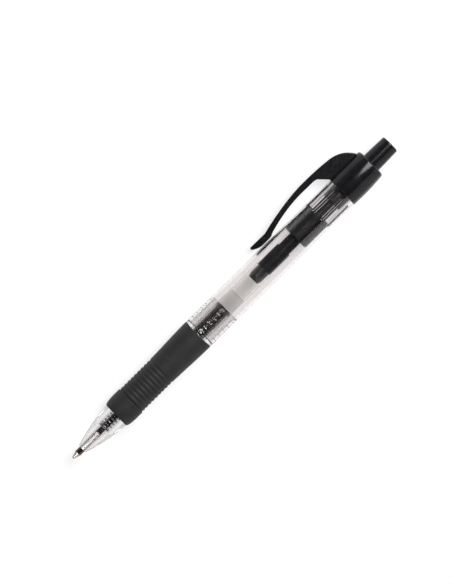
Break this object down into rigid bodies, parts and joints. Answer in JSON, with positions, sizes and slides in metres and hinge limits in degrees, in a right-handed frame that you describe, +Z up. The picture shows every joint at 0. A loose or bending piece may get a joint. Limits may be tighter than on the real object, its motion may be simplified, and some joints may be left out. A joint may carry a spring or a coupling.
{
  "type": "gel pen",
  "caption": "Retractable clear-barrelled gel pen with rubber grip, pocket clip, push button, cam mechanism, screwed front section and refill, each a separate piece.",
  "frame": {"origin": "on the surface the pen lies on, under the centre of its bounding box, with the writing point out", "axes": "+X along the pen towards the writing point, +Z up, pocket clip on the -Y side and tipped down so that its edge rests on the surface"},
  "size_m": [0.1428, 0.0168, 0.0115],
  "materials": {
    "clear_barrel": "clear moulded plastic, polished",
    "grip_rubber": "matte black rubber",
    "black_gloss": "gloss black moulded plastic",
    "black_mechanism": "satin black moulded plastic",
    "spring_wire": "drawn steel wire",
    "refill_clear": "slightly milky clear tube",
    "black_ink": "wet black gel",
    "follower_grease": "clear greenish grease",
    "holder_clear": "clear moulded plastic",
    "tip_steel": "turned stainless steel",
    "ball_carbide": "polished tungsten carbide"
  },
  "bodies": {
    "rear_body": {"rear_barrel": "clear_barrel", "rear_cap": "black_gloss"},
    "clip": {"pocket_clip": "black_gloss"},
    "knock": {"push_button": "black_gloss", "cam_rotor": "black_mechanism"},
    "spring_seat": {"return_spring": "spring_wire"},
    "front_section": {"front_barrel": "clear_barrel", "rubber_grip": "grip_rubber"},
    "refill": {"refill_tube": "refill_clear", "ink_column": "black_ink", "ink_follower": "follower_grease", "tail_plug": "black_mechanism", "tip_holder": "holder_clear", "writing_tip": "tip_steel"},
    "ball": {"tip_ball": "ball_carbide"}
  },
  "joints": [
    {"name": "clip_flex", "type": "hinge", "parent": "rear_body", "child": "clip", "pos_m": [-0.04247, -0.00759, 0.00217], "axis": [0, 0.3315, -0.9435], "range_deg": [0, 6], "stiffness_Nm_per_rad": 2},
    {"name": "button_knock", "type": "slide", "parent": "rear_body", "child": "knock", "axis": [1, 0, 0], "range_m": [-0.0055, 0.0012]},
    {"name": "front_draw", "type": "slide", "parent": "rear_body", "child": "spring_seat", "axis": [1, 0, 0], "range_m": [0, 0.0107]},
    {"name": "front_unscrew", "type": "hinge", "parent": "spring_seat", "child": "front_section", "pos_m": [0.01392, 0.0026, 0.00575], "axis": [1, 0, 0], "range_deg": [0, 1946]},
    {"name": "refill_travel", "type": "slide", "parent": "spring_seat", "child": "refill", "axis": [1, 0, 0], "range_m": [-0.0055, 0.0012], "deforming": ["return_spring"]},
    {"name": "ball_roll", "type": "hinge", "parent": "refill", "child": "ball", "pos_m": [0.07107, 0.0026, 0.00575], "axis": [0, -0.3315, 0.9435], "continuous": true}
  ],
  "couplings": [
    {"joint": "front_unscrew", "follows": "front_draw", "rad_per_m": 3173.3},
    {"joint": "refill_travel", "follows": "button_knock", "ratio": 1}
  ]
}
